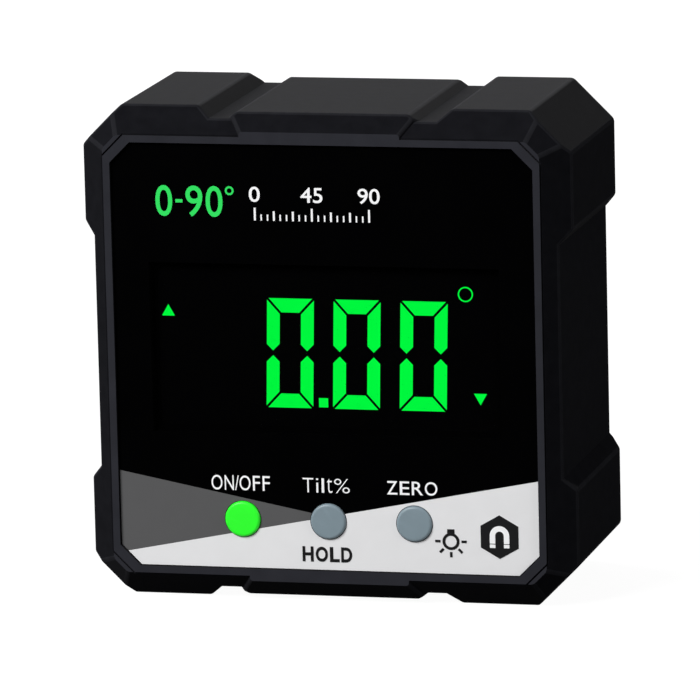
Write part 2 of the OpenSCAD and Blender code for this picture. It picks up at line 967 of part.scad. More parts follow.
module rear_cover() {
    color(case_black)
    difference() {
        union() {
            slab(cover_front, rear_depth)
                octagon(cover_half, grown_leg(cover_corner, -cover_gap));
            slab(bay_floor - bay_wall, cover_front)
                band(bay_half_w + bay_wall, -bay_half_h - bay_wall, bay_half_h + bay_wall);
        }
        slab(bay_floor, rear_depth + over)
            band(bay_half_w, -bay_half_h, bay_half_h);
        slab(door_front, rear_depth + over)
            band(door_half_w, -door_half_h, door_half_h);
        at_tongues()
            slab(rear_depth - tongue_swing, door_front + door_gap)
                band(tongue_width / 2 + door_gap, -leaf_half_h - tongue_reach - door_gap, -bay_half_h + over);
        intersection() {
            rod([0, leaf_half_h], scoop_radius, rear_depth - scoop_depth, rear_depth + over);
            slab(door_front, rear_depth + over)
                band(cover_half, 0, cover_half);
        }
        solder_tail(tail_gap);
        flip_down() solder_tail(tail_gap);
        at_corners(cover_screw_place, cover_screw_place) {
            rod([0, 0], cover_screw_diameter / 2 + screw_gap, cover_front - over, rear_depth);
            rod([0, 0], cover_screw_head / 2 + screw_gap, cover_screw_seat, rear_depth + over);
        }
    }
}

module cover_seal() {
    color([0.3, 0.3, 0.3])
    slab(ledge_front, cover_front)
        difference() {
            octagon(cover_half, grown_leg(cover_corner, -cover_gap));
            octagon(cavity_half + cover_gap, grown_leg(cavity_corner, cover_gap));
        }
}

// Cell along the width with its nub towards the right, its nub face at the given place
module cell(nub_face) {
    translate([nub_face, front_y + cell_depth, mid_z])
        rotate([0, -90, 0]) {
            cylinder(r = nub_diameter / 2, h = nub_length);
            translate([0, 0, nub_length])
                cylinder(r = cell_radius, h = cell_length - nub_length);
        }
}

module upper_cell() {
    color([0.72, 0.74, 0.78])
    translate([0, 0, cell_z])
        cell(contact_face);
}

module lower_cell() {
    color([0.72, 0.74, 0.78])
    mirror([1, 0, 0])
        translate([0, 0, -cell_z])
            cell(contact_face);
}

// Conical compression spring along +Z with flat end coils, in steps for each turn
spring_steps = 20;
spring_sides = 8;

function spring_climb(share) = min(1, max(0, (share - 0.2) / 0.6));

function spring_ring(share) =
    let (
        turn = 360 * spring_turns * share,
        radius = spring_wide + (spring_narrow - spring_wide) * share,
        height = spring_wire / 2 + (spring_length - spring_wire) * spring_climb(share)
    )
    [
        for (side = [0:spring_sides - 1])
            let (
                angle = 360 * side / spring_sides,
                reach = radius + spring_wire / 2 * cos(angle)
            )
            [reach * cos(turn), reach * sin(turn), height + spring_wire / 2 * sin(angle)]
    ];

module conical_spring() {
    rings = ceil(spring_steps * spring_turns);
    tube([for (ring = [0:rings]) spring_ring(ring / rings)], spring_sides);
}

module battery_springs() {
    color(metal_grey) {
        translate([-contact_face, front_y + cell_depth, mid_z + cell_z])
            rotate([0, 90, 0]) conical_spring();
        translate([contact_face, front_y + cell_depth, mid_z - cell_z])
            rotate([0, -90, 0]) conical_spring();
    }
}

// Contact plate against the right end wall of the bay between two heights
module contact_plate(low, high) {
    translate([contact_face, front_y + bay_floor + contact_margin, mid_z + low])
        cube([contact_thickness, 2 * (cell_depth - bay_floor - contact_margin), high - low]);
}

// Solder tail that leaves the right end of the bay through its upper wall
module solder_tail(gap) {
    translate([contact_face - gap, front_y + cell_depth - tail_width / 2 - gap, mid_z + cell_z])
        cube([contact_thickness + gap, tail_width + 2 * gap, tail_top - cell_z + gap]);
}

// Turns the upper right quarter of the bay over to the lower right one
module flip_down() {
    translate([0, 0, mid_z])
        mirror([0, 0, 1])
            translate([0, 0, -mid_z])
                children();
}

module bridge_contact() {
    color(metal_grey)
    mirror([1, 0, 0])
        contact_plate(contact_margin - bay_half_h, bay_half_h - contact_margin);
}

module positive_contact() {
    color(metal_grey) {
        contact_plate(contact_margin, bay_half_h - contact_margin);
        solder_tail(0);
    }
}

module negative_contact() {
    color(metal_grey)
    flip_down() {
        contact_plate(contact_margin, bay_half_h - contact_margin);
        solder_tail(0);
    }
}

// Battery lead from a solder tail's face to the rear of the board
lead_steps = 14;
lead_sides = 8;
lead_start = [contact_face, cell_depth, tail_top - lead_diameter];
lead_end = [lead_start[0] - lead_bow, board_back, lead_start[2] + lead_lift];
lead_pull = [lead_start[0] - 1.5 * lead_bow, lead_start[1], lead_start[2]];
lead_push = [lead_end[0], board_back + 1.5 * lead_bow, lead_end[2]];

function lead_point(share) =
    pow(1 - share, 3) * lead_start + 3 * pow(1 - share, 2) * share * lead_pull
    + 3 * (1 - share) * pow(share, 2) * lead_push + pow(share, 3) * lead_end;

function lead_slope(share) =
    pow(1 - share, 2) * (lead_pull - lead_start) + 2 * (1 - share) * share * (lead_push - lead_pull)
    + pow(share, 2) * (lead_end - lead_push);

function unit(vector) = vector / norm(vector);

function lead_ring(share) =
    let (
        ahead = unit(lead_slope(share)),
        across = unit(cross(ahead, [0, 0, 1])),
        above = cross(across, ahead)
    )
    [
        for (side = [0:lead_sides - 1])
            let (angle = 360 * side / lead_sides)
            lead_point(share) + lead_diameter / 2 * (cos(angle) * across + sin(angle) * above)
    ];

// Closed tube through rings of points
module tube(rings, sides) {
    count = len(rings) - 1;
    walls = [
        for (ring = [0:count - 1], side = [0:sides - 1])
            let (
                low = ring * sides,
                next = (side + 1) % sides,
                high = low + sides
            )
            each [[low + side, high + side, high + next], [low + side, high + next, low + next]]
    ];
    start_cap = [for (side = [0:sides - 1]) side];
    end_cap = [for (side = [sides - 1:-1:0]) count * sides + side];
    polyhedron(points = [for (ring = rings) each ring], faces = concat(walls, [start_cap, end_cap]));
}

module battery_lead() {
    translate([0, front_y, mid_z])
        tube([for (step = [0:lead_steps]) lead_ring(step / lead_steps)], lead_sides);
}

module positive_lead() {
    color([0.75, 0.08, 0.06])
    battery_lead();
}

module negative_lead() {
    color([0.06, 0.06, 0.06])
    flip_down() battery_lead();
}

module base_magnets() {
    color([0.6, 0.6, 0.63])
    at_magnets()
        translate([0, 0, magnet_inset])
            cylinder(r = magnet_radius, h = magnet_thickness);
}

module battery_door() {
    slit_x = latch_width / 2 + latch_slit / 2;
    color(case_black) {
        difference() {
            slab(door_front, rear_depth)
                band(leaf_half_w, -leaf_half_h, leaf_half_h);
            for (side = [-1, 1])
                slab(door_front - over, rear_depth + over)
                    translate([side * slit_x - latch_slit / 2, leaf_half_h - latch_length])
                        square([latch_slit, latch_length + over]);
        }
        at_tongues()
            slab(tongue_front, door_front)
                band(tongue_width / 2, -leaf_half_h - tongue_reach, tongue_reach - leaf_half_h);
        for (side = [-1, 1])
            slab(door_front - rib_height, door_front)
                band(rib_length / 2, side * cell_z - rib_width / 2, side * cell_z + rib_width / 2);
    }
}

front_housing();
face_panel();
white_print();
grey_print();
panel_tape();
display_window();
lcd_glass();
lcd_segments();
light_guide();
backlight_leds();
lcd_frame();
connector_strip();
main_board();
controller_chip();
tilt_sensor();
clock_crystal();
chip_capacitors();
switch_bodies();
board_screws();
power_button();
hold_button();
zero_button();
power_switch_stem();
hold_switch_stem();
zero_switch_stem();
rear_cover();
cover_seal();
cover_screws();
upper_cell();
lower_cell();
battery_springs();
bridge_contact();
positive_contact();
negative_contact();
positive_lead();
negative_lead();
base_magnets();
battery_door();
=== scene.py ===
"""Looks of the digital angle gauge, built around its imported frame."""
import json
import math
from typing import NamedTuple

import bmesh
import bpy
from mathutils import Matrix, Vector


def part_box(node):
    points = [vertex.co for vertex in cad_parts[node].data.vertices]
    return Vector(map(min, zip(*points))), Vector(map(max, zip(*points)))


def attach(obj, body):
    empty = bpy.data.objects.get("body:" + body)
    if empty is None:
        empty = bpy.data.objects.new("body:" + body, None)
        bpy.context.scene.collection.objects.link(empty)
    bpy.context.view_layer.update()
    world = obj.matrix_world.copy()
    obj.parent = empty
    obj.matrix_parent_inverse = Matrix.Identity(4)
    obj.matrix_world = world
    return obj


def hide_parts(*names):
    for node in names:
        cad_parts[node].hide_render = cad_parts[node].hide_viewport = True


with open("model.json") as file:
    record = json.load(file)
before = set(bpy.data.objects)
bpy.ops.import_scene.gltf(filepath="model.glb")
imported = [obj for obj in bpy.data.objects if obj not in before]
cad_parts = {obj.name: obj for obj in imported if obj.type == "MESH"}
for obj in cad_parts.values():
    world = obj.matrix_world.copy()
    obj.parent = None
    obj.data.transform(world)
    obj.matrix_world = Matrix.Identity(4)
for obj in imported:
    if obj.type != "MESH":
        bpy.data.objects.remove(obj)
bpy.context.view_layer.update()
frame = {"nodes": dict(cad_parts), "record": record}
nodes = frame["nodes"]

# Units and places taken from the frame
MM = 0.001
CASE_LOW, CASE_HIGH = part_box("front_housing")
FRONT_Y = CASE_LOW.y
REAR_Y = CASE_HIGH.y
MID_Z = (CASE_LOW.z + CASE_HIGH.z) / 2
PANEL_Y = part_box("face_panel")[0].y

# Fronts of the print's layers and their thickness: on the panel, on the colour fields and on a sign
INK_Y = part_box("white_print")[0].y
INK = PANEL_Y - INK_Y
FIELD_INK_Y = INK_Y - INK
SIGN_INK_Y = INK_Y - 2 * INK

# Camera of the photograph: angles in degrees, lengths in millimetres, focal length in pixels
IMAGE_SIDE = 700
SENSOR = 36
FOCAL_PIXELS = 7555.36
AZIMUTH = 14.003
ELEVATION = 11.108
ROLL = -1.358
DISTANCE = 920.726
TARGET = (-0.264, -0.382, 28.605)

# Clip distances of the camera, in metres
CLIP_NEAR = 0.01
CLIP_FAR = 100

# Rounding of moulded edges, in metres and radians
WELD = 1e-6
FLAT_ANGLE = math.radians(1)
EDGE_ANGLE = math.radians(14)
SHARP_ANGLE = math.radians(33)
CASE_ROUND = 0.32 * MM
COVER_ROUND = 0.2 * MM
ROUND_STEPS = 3
ROUND_PROFILE = 0.5
PANEL_MARGIN = 0.9 * MM
GROOVE_DEPTH = 0.25 * MM
REAR_RIM = 0.05 * MM
SHORT_EDGE = 0.6 * MM
STRIP_LENGTH = 1.2 * MM
FLAT_WEIGHT = 100

# Material places of a shell: its rounded edges, painted lighter as a highlight, and its land, which faces
# the front in the rim plane and is painted lighter as a reflection
ROUNDED = 1
LAND = 2
LAND_FACING = -0.99
LAND_DEPTH = 0.01 * MM

# Linear colours
CASE_COLOR = (0.0064, 0.0065, 0.008)
# Lighter colour of the rounded edges: a painted highlight along them
EDGE_HIGHLIGHT_COLOR = (0.0125, 0.0127, 0.015)
# Lighter colour of the land round the panel: a painted reflection
RIM_REFLECTION_COLOR = (0.024, 0.0245, 0.03)
PANEL_COLOR = (0.0006, 0.0006, 0.0007)
WHITE_INK = (0.735, 0.735, 0.745)
WORD_INK = (0.88, 0.88, 0.89)
GREY_INK = (0.087, 0.087, 0.089)
BLACK_INK = (0.006, 0.006, 0.0065)
LIT_GREEN = (0.0, 1.0, 0.052)
UNLIT = (0, 0, 0)
HEADING_GREEN = (0.03, 0.68, 0.11)
BUTTON_GREEN = (0.02, 0.93, 0.02)
BUTTON_GREY = (0.175, 0.23, 0.262)
CELL_GREY = (0.3, 0.32, 0.35)
CELL_COPPER = (0.36, 0.15, 0.05)
STEEL_COLOR = (0.62, 0.62, 0.63)
SCREW_COLOR = (0.13, 0.13, 0.135)


# Surfaces
class Surface(NamedTuple):
    """Finish of a material, with features and depths in millimetres."""
    roughness: float
    specular: float
    tone: tuple = None  # feature, share of the colour
    gloss: tuple = None  # feature, low roughness, high roughness
    grain: tuple = None  # feature, strength, depth
    metallic: float = 0.0


CASE_SURFACE = Surface(0.52, 0.0, (1.5, 0.12), (4, 0.46, 0.58), (0.16, 0.25, 0.02))
RIM_SURFACE = Surface(0.38, 0.0, (3, 0.08), (5, 0.34, 0.44), (0.2, 0.1, 0.01))
PANEL_SURFACE = Surface(0.4, 0.001, (6, 0.15), (8, 0.36, 0.46), (0.3, 0.05, 0.005))
INK_SURFACE = Surface(0.42, 0.08, (2.5, 0.012), (3, 0.36, 0.48), (0.12, 0.06, 0.004))
STEEL_SURFACE = Surface(0.4, 0.5, (1.2, 0.05), (0.8, 0.22, 0.4), (0.1, 0.08, 0.005), 1.0)
SCREW_SURFACE = Surface(0.42, 0.5, (1.2, 0.05), (0.8, 0.28, 0.42), (0.1, 0.08, 0.005), 1.0)
CELL_SURFACE = Surface(0.3, 0.4, gloss=(3, 0.24, 0.36), grain=(0.4, 0.05, 0.005))
LENS_SURFACE = Surface(0.35, 0.05, gloss=(6, 0.32, 0.4))
SEGMENT_SURFACE = Surface(0.5, 0.0)

# Detail of the noise textures, and the part of their range that is stretched over a change
GRAIN_DETAIL = 2.0
DRIFT_DETAIL = 3.0
NOISE_LOW = 0.3
NOISE_HIGH = 0.7

# Bloom of the case, opacity of the lens, and the backlight's noise with its feature in metres
CASE_SHEEN = 0.068
SHEEN_ROUGHNESS = 0.3
LENS_ALPHA = 0.02
BACKLIGHT_DRIFT = 9 * MM
BACKLIGHT_DETAIL = 1.0
BACKLIGHT_LOW = 0.93
BACKLIGHT_STRENGTH = 1.0

# Share of a cell's length that its plus band takes, and half the width of the seam beside it
CELL_BAND = 0.3
CELL_BLUR = 0.04 * MM

# Plain moulded pieces by slot: colour, roughness, specular level, grain in millimetres, share of tone
MOULDED = {
    "tape": (PANEL_COLOR, 0.7, 0.0, 0.2, 0.03),
    "display_glass": (PANEL_COLOR, 0.42, 0.001, 0.4, 0.03),
    "clear_plastic": ((0.8, 0.83, 0.85), 0.15, 0.5, 0.5, 0.03),
    "lamp": ((0.85, 0.8, 0.5), 0.3, 0.5, 0.3, 0.03),
    "white_plastic": ((0.75, 0.75, 0.72), 0.5, 0.4, 0.2, 0.03),
    "elastomer": ((0.8, 0.35, 0.4), 0.7, 0.2, 0.15, 0.03),
    "board": ((0.02, 0.16, 0.05), 0.35, 0.5, 0.3, 0.1),
    "chip": ((0.02, 0.02, 0.022), 0.6, 0.3, 0.1, 0.03),
    "sensor": ((0.45, 0.4, 0.2), 0.4, 0.5, 0.1, 0.03),
    "capacitor": ((0.4, 0.28, 0.15), 0.5, 0.4, 0.1, 0.03),
    "green_button": (BUTTON_GREEN, 0.4, 0.35, 0.12, 0.015),
    "grey_button": (BUTTON_GREY, 0.4, 0.35, 0.12, 0.03),
    "seal_rubber": ((0.05, 0.05, 0.05), 0.8, 0.2, 0.15, 0.03),
    "red_sleeve": ((0.5, 0.01, 0.01), 0.5, 0.4, 0.2, 0.03),
    "black_sleeve": ((0.02, 0.02, 0.02), 0.5, 0.4, 0.2, 0.03),
}

# Shared values of the plain moulded pieces, with features and depth in millimetres
MOULDED_TONE = 2
MOULDED_GLOSS = 2.5
MOULDED_SPREAD = 0.05
MOULDED_STRENGTH = 0.12
MOULDED_DEPTH = 0.01


# Words on the panel
class Word(NamedTuple):
    """Printed word in a box, with the box's corners in millimetres from the middle of the face."""
    name: str
    letters: tuple  # each with the shares of the box's width where it starts and ends
    low: tuple
    high: tuple
    weight: float  # what is added to the strokes


POWER_LETTERS = (
    ("O", 0, 0.188), ("N", 0.226, 0.382), ("/", 0.403, 0.47),
    ("O", 0.481, 0.669), ("F", 0.71, 0.831), ("F", 0.876, 1),
)
TILT_LETTERS = (
    ("T", 0, 0.228), ("i", 0.285, 0.336), ("l", 0.403, 0.456), ("t", 0.513, 0.631), ("%", 0.671, 1),
)
ZERO_LETTERS = (("Z", 0, 0.208), ("E", 0.255, 0.447), ("R", 0.494, 0.714), ("O", 0.752, 1))
HOLD_LETTERS = (("H", 0, 0.222), ("O", 0.266, 0.51), ("L", 0.552, 0.745), ("D", 0.778, 1))
RANGE_LETTERS = (("0", 0, 0.215), ("9", 0.385, 0.6), ("0", 0.64, 0.855))
POWER_WORD = Word("words_power", POWER_LETTERS, (-14.48, -16.42), (-7.2, -14.6), -0.001)
TILT_WORD = Word("words_tilt", TILT_LETTERS, (-3.11, -16.44), (2.72, -14.67), -0.011)
ZERO_WORD = Word("words_zero", ZERO_LETTERS, (7.33, -16.42), (13.56, -14.76), 0.004)
HOLD_WORD = Word("words_hold", HOLD_LETTERS, (-3.33, -24.97), (2.84, -23.11), 0.034)
RANGE_WORD = Word("range_numbers", RANGE_LETTERS, (-20.51, 17.07), (-10.75, 20.86), 0.008)
LETTER_STEPS = 6

# Marks of the range in millimetres, with the dash's ends as shares of the range's width
DASH_START = 0.255
DASH_END = 0.345
DASH_HALF = 0.2
DEGREE_RADIUS = 0.55
DEGREE_STROKE = 0.24
DEGREE_STEPS = 28

# Graduated scale in millimetres from the middle of the face, with ticks in three heights
SCALE_LEFT = -8.2
SCALE_RIGHT = 5.9
SCALE_FOOT = 16.75
SCALE_STEPS = 18
TALL_EVERY = 9
LONG_EVERY = 3
TALL_TICK = 1.55
LONG_TICK = 1.15
SHORT_TICK = 0.75
LONG_HALF = 0.12
SHORT_HALF = 0.09
NUMBER_LOW = 19.0
NUMBER_HIGH = 20.86
NUMBER_WEIGHT = 0.008
DIGIT_HALF = 0.68

# Lamp sign in millimetres from the middle of the face, with angles in degrees: bulb, cap and rays
BULB_CENTER = (15.11, -21.97)
BULB_RADIUS = 1.05
BULB_STROKE = 0.35
BULB_STEPS = 40
CAP_HALF = 0.44
CAP_RISE = 1.5
CAP_GAP = 0.01
CAP_FROM = 116
CAP_TO = 64
CAP_STEPS = 8
RAY_TURNS = (180, 225, 270, 315, 360)
RAY_START = 1.3
RAY_END = 1.95
RAY_WIDTH = 0.31

# Magnet sign in millimetres from the middle of the face, with angles in degrees: hexagon and horseshoe
HEXAGON_CENTER = (21.11, -21.26)
HEXAGON_RADIUS = 2.68
HEXAGON_SIDES = 6
HEXAGON_TURN = 30
BOW_RISE = 0.16
BOW_OUTER = 1.2
BOW_INNER = 0.53
BOW_FROM = 180
BOW_TO = 0
BOW_STEPS = 16

# Legs of the horseshoe, as the stretches under its bow that a thin line divides, in millimetres
LEG_PARTS = ((0, 0.98), (1.08, 1.5))

# Floor, with lengths in metres, its grey under the lamps and its white for the camera, and ambient level
FLOOR_REACH = 4.0
FLOOR_DROP = 0.02 * MM
FLOOR_GREY = 0.08
FLOOR_WHITE = 0.96
AMBIENT = 0.06

# Lamps: side in metres, then direction from the middle of the case, distance in metres, power in watts
LAMP_SIDE = 0.4
LAMPS = {
    "key": ((-0.75, -1.0, 0.92), 0.9, 11.4),
    "back": ((-0.8, 0.5, 0.55), 0.8, 6.0),
    "rear": ((-0.35, 1.0, 0.1), 0.8, 6.0),
    "side": ((1.0, -0.2, 0.3), 0.8, 2.2),
}


# Materials
def object_noise(material, size, detail):
    """Noise texture in the object's own coordinates, with features of the given size in metres."""
    tree = material.node_tree
    place = tree.nodes.new("ShaderNodeTexCoord")
    noise = tree.nodes.new("ShaderNodeTexNoise")
    noise.inputs["Scale"].default_value = 1 / size
    noise.inputs["Detail"].default_value = detail
    tree.links.new(place.outputs["Object"], noise.inputs["Vector"])
    return noise


def add_grain(material, shader, size, strength, depth):
    """Fine moulded grain as bump."""
    tree = material.node_tree
    noise = object_noise(material, size, GRAIN_DETAIL)
    bump = tree.nodes.new("ShaderNodeBump")
    bump.inputs["Strength"].default_value = strength
    bump.inputs["Distance"].default_value = depth
    tree.links.new(noise.outputs["Fac"], bump.inputs["Height"])
    tree.links.new(bump.outputs["Normal"], shader.inputs["Normal"])


def add_gloss_change(material, shader, size, low, high):
    """Roughness that drifts between two values."""
    tree = material.node_tree
    noise = object_noise(material, size, DRIFT_DETAIL)
    spread = tree.nodes.new("ShaderNodeMapRange")
    spread.inputs["From Min"].default_value = NOISE_LOW
    spread.inputs["From Max"].default_value = NOISE_HIGH
    spread.inputs["To Min"].default_value = low
    spread.inputs["To Max"].default_value = high
    tree.links.new(noise.outputs["Fac"], spread.inputs["Value"])
    tree.links.new(spread.outputs["Result"], shader.inputs["Roughness"])


def add_tone_change(material, shader, size, color, share):
    """Colour that drifts a little round its mean."""
    tree = material.node_tree
    noise = object_noise(material, size, DRIFT_DETAIL)
    ramp = tree.nodes.new("ShaderNodeValToRGB")
    ramp.color_ramp.elements[0].position = NOISE_LOW
    ramp.color_ramp.elements[1].position = NOISE_HIGH
    ramp.color_ramp.elements[0].color = (*[c * (1 - share) for c in color], 1)
    ramp.color_ramp.elements[1].color = (*[c * (1 + share) for c in color], 1)
    tree.links.new(noise.outputs["Fac"], ramp.inputs["Fac"])
    tree.links.new(ramp.outputs["Color"], shader.inputs["Base Color"])


def new_material(name, color, surface):
    """Principled material with those of tone, gloss and grain that its surface has."""
    material = bpy.data.materials.new(name)
    material.use_nodes = True
    shader = material.node_tree.nodes["Principled BSDF"]
    shader.inputs["Base Color"].default_value = (*color, 1)
    shader.inputs["Roughness"].default_value = surface.roughness
    shader.inputs["Specular IOR Level"].default_value = surface.specular
    shader.inputs["Metallic"].default_value = surface.metallic
    if surface.tone:
        size, share = surface.tone
        add_tone_change(material, shader, size * MM, color, share)
    if surface.gloss:
        size, low, high = surface.gloss
        add_gloss_change(material, shader, size * MM, low, high)
    if surface.grain:
        size, strength, depth = surface.grain
        add_grain(material, shader, size * MM, strength, depth * MM)
    return material, shader


def plain(name, color, surface):
    """Material with nothing beyond its surface."""
    return new_material(name, color, surface)[0]


def moulded(slot):
    """Plain moulded plastic or rubber from the table."""
    color, roughness, specular, grain, share = MOULDED[slot]
    surface = Surface(
        roughness, specular,
        tone=(MOULDED_TONE, share),
        gloss=(MOULDED_GLOSS, roughness - MOULDED_SPREAD, roughness + MOULDED_SPREAD),
        grain=(grain, MOULDED_STRENGTH, MOULDED_DEPTH),
    )
    return plain(slot, color, surface)


def case_plastic(name, color):
    """Near-black moulded plastic with a fine spark-eroded grain and a soft bloom at grazing angles."""
    material, shader = new_material(name, color, CASE_SURFACE)
    shader.inputs["Sheen Weight"].default_value = CASE_SHEEN
    shader.inputs["Sheen Roughness"].default_value = SHEEN_ROUGHNESS
    return material


def lit_green():
    """Segments lit from behind, with a slightly uneven backlight."""
    material, shader = new_material("lit_segments", UNLIT, SEGMENT_SURFACE)
    tree = material.node_tree
    noise = object_noise(material, BACKLIGHT_DRIFT, BACKLIGHT_DETAIL)
    ramp = tree.nodes.new("ShaderNodeValToRGB")
    ramp.color_ramp.elements[0].color = (*[BACKLIGHT_LOW * c for c in LIT_GREEN], 1)
    ramp.color_ramp.elements[1].color = (*LIT_GREEN, 1)
    tree.links.new(noise.outputs["Fac"], ramp.inputs["Fac"])
    tree.links.new(ramp.outputs["Color"], shader.inputs["Emission Color"])
    shader.inputs["Emission Strength"].default_value = BACKLIGHT_STRENGTH
    return material


def clear_window():
    """Clear lens that lets the display through and adds a trace of gloss."""
    material, shader = new_material("clear_window", PANEL_COLOR, LENS_SURFACE)
    shader.inputs["Alpha"].default_value = LENS_ALPHA
    return material


def cell_jacket(node, side):
    """Wrapped can of a cell, grey with a copper band at its plus end on the given side."""
    material, shader = new_material(node + "_jacket", CELL_GREY, CELL_SURFACE)
    tree = material.node_tree
    low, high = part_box(node)
    plus, minus = (high.x, low.x) if side > 0 else (low.x, high.x)
    seam = plus + CELL_BAND * (minus - plus)
    where = tree.nodes.new("ShaderNodeTexCoord")
    split = tree.nodes.new("ShaderNodeSeparateXYZ")
    across = tree.nodes.new("ShaderNodeMapRange")
    across.inputs["From Min"].default_value = seam - side * CELL_BLUR
    across.inputs["From Max"].default_value = seam + side * CELL_BLUR
    ramp = tree.nodes.new("ShaderNodeValToRGB")
    ramp.color_ramp.elements[0].color = (*CELL_GREY, 1)
    ramp.color_ramp.elements[1].color = (*CELL_COPPER, 1)
    tree.links.new(where.outputs["Object"], split.inputs["Vector"])
    tree.links.new(split.outputs["X"], across.inputs["Value"])
    tree.links.new(across.outputs["Result"], ramp.inputs["Fac"])
    tree.links.new(ramp.outputs["Color"], shader.inputs["Base Color"])
    return material


CASE = case_plastic("case_plastic", CASE_COLOR)
# Rounded edges take a lighter copy of the case plastic, a painted highlight
EDGE_HIGHLIGHT = case_plastic("case_edge_painted_highlight", EDGE_HIGHLIGHT_COLOR)
# The land at the rim plane takes a lighter plastic, a painted reflection
RIM_REFLECTION = plain("rim_painted_reflection", RIM_REFLECTION_COLOR, RIM_SURFACE)
MATERIALS = {slot: moulded(slot) for slot in MOULDED}
MATERIALS["case_plastic"] = CASE
MATERIALS["panel_plastic"] = plain("panel_plastic", PANEL_COLOR, PANEL_SURFACE)
MATERIALS["white_ink"] = plain("white_ink", WHITE_INK, INK_SURFACE)
MATERIALS["grey_ink"] = plain("grey_ink", GREY_INK, INK_SURFACE)
MATERIALS["clear_window"] = clear_window()
MATERIALS["lit_segments"] = lit_green()
MATERIALS["steel"] = plain("steel", STEEL_COLOR, STEEL_SURFACE)
NODE_MATERIALS = {
    "cover_screws": plain("dark_steel", SCREW_COLOR, SCREW_SURFACE),
    "upper_cell": cell_jacket("upper_cell", 1),
    "lower_cell": cell_jacket("lower_cell", -1),
}
WORD_PRINT = plain("word_ink", WORD_INK, INK_SURFACE)
BLACK_PRINT = plain("black_ink", BLACK_INK, INK_SURFACE)
GREEN_PRINT = plain("green_ink", HEADING_GREEN, INK_SURFACE)


def dress_nodes():
    """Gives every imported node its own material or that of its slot."""
    for row in frame["record"]["subparts"]:
        mesh = nodes[row["node"]].data
        mesh.materials.clear()
        mesh.materials.append(NODE_MATERIALS.get(row["node"]) or MATERIALS[row["material_slot"]])


# Meshes
def add_object(name, mesh, material, body="gauge"):
    """Links a piece, gives it a material unless it brings its own, and lets it ride on a body."""
    piece = bpy.data.objects.new(name, mesh)
    bpy.context.scene.collection.objects.link(piece)
    if material:
        mesh.materials.append(material)
    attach(piece, body)
    return piece


def finish_mesh(bm, name):
    """Turns a bmesh into a mesh with outward faces."""
    bmesh.ops.recalc_face_normals(bm, faces=bm.faces)
    mesh = bpy.data.meshes.new(name)
    bm.to_mesh(mesh)
    bm.free()
    return mesh


def keep_flats_flat(piece):
    """Smooth shading that leaves the large faces flat between their rounded edges."""
    piece.data.shade_smooth()
    piece.data.set_sharp_from_angle(angle=SHARP_ANGLE)
    weighted = piece.modifiers.new("weighted", "WEIGHTED_NORMAL")
    weighted.keep_sharp = True
    weighted.weight = FLAT_WEIGHT


def corner_normal(loop):
    """Normal of a face's corner that keeps flats flat and rounded edges even along their length."""
    face = loop.face
    near = [other for other in loop.vert.link_faces if other.normal.angle(face.normal, 0) < SHARP_ANGLE]
    edge = max(loop.edge, loop.link_loop_prev.edge, key=lambda item: item.calc_length())
    if face.material_index == ROUNDED and edge.calc_length() > STRIP_LENGTH:
        beside = [other for other in edge.link_faces if other is not face and other in near]
        flats = [other for other in beside if other.material_index != ROUNDED]
        if flats:
            return flats[0].normal.copy()
        return sum((other.normal for other in beside), face.normal.copy()).normalized()
    flats = [other for other in near if other.material_index != ROUNDED]
    return sum((other.normal * other.calc_area() for other in flats or near), Vector()).normalized()


def even_shading(piece):
    """Gives a rounded piece its corner normals."""
    bm = bmesh.new()
    bm.from_mesh(piece.data)
    normals = [corner_normal(loop) for face in bm.faces for loop in face.loops]
    bm.free()
    piece.data.shade_smooth()
    piece.data.normals_split_custom_set(normals)


def rounded_copy(node, width, wanted):
    """Mesh of a node with its chosen edges rounded and painted a little lighter as a highlight."""
    bm = bmesh.new()
    bm.from_mesh(nodes[node].data)
    bmesh.ops.remove_doubles(bm, verts=bm.verts, dist=WELD)
    bmesh.ops.dissolve_limit(bm, angle_limit=FLAT_ANGLE, verts=bm.verts, edges=bm.edges)
    edges = [
        edge for edge in bm.edges
        if edge.is_convex and edge.calc_face_angle(0) > EDGE_ANGLE
        and edge.calc_length() > SHORT_EDGE and wanted(edge)
    ]
    rounded = bmesh.ops.bevel(
        bm, geom=edges, offset=width, offset_type="OFFSET", segments=ROUND_STEPS, profile=ROUND_PROFILE,
        affect="EDGES", clamp_overlap=False, loop_slide=True,
    )
    for face in rounded["faces"]:
        face.material_index = ROUNDED
    mesh = finish_mesh(bm, node + "_rounded")
    mesh.materials.append(CASE)
    mesh.materials.append(EDGE_HIGHLIGHT)
    return mesh


def on_outer_skin(edge):
    """Edge of the case's outside, away from the fine groove at the rim and from the rear rim."""
    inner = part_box("face_panel")[1].x + PANEL_MARGIN
    for vert in edge.verts:
        reach = max(abs(vert.co.x), abs(vert.co.z - MID_Z))
        if reach < inner:
            return False
    depths = [vert.co.y for vert in edge.verts]
    return sum(depths) / 2 > FRONT_Y + GROOVE_DEPTH and min(depths) < REAR_Y - REAR_RIM


def on_rear_face(edge):
    """Edge in the plane of the rear face."""
    return min(vert.co.y for vert in edge.verts) > REAR_Y - REAR_RIM


def housing():
    """Case with rounded edges painted lighter as a highlight, and a land at the rim plane painted lighter
    as a reflection.
    """
    mesh = rounded_copy("front_housing", CASE_ROUND, on_outer_skin)
    mesh.materials.append(RIM_REFLECTION)
    piece = add_object("housing_shell", mesh, None)
    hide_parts("front_housing")
    for face in mesh.polygons:
        if face.normal.y < LAND_FACING and abs(face.center.y - FRONT_Y) < LAND_DEPTH:
            face.material_index = LAND
    even_shading(piece)


def rear_pieces():
    """Rear cover and battery door with rounded edges along their seams."""
    for node, name, body in (("rear_cover", "rear_shell", "gauge"), ("battery_door", "door_leaf", "door")):
        mesh = rounded_copy(node, COVER_ROUND, on_rear_face)
        piece = add_object(name, mesh, None, body)
        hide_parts(node)
        even_shading(piece)


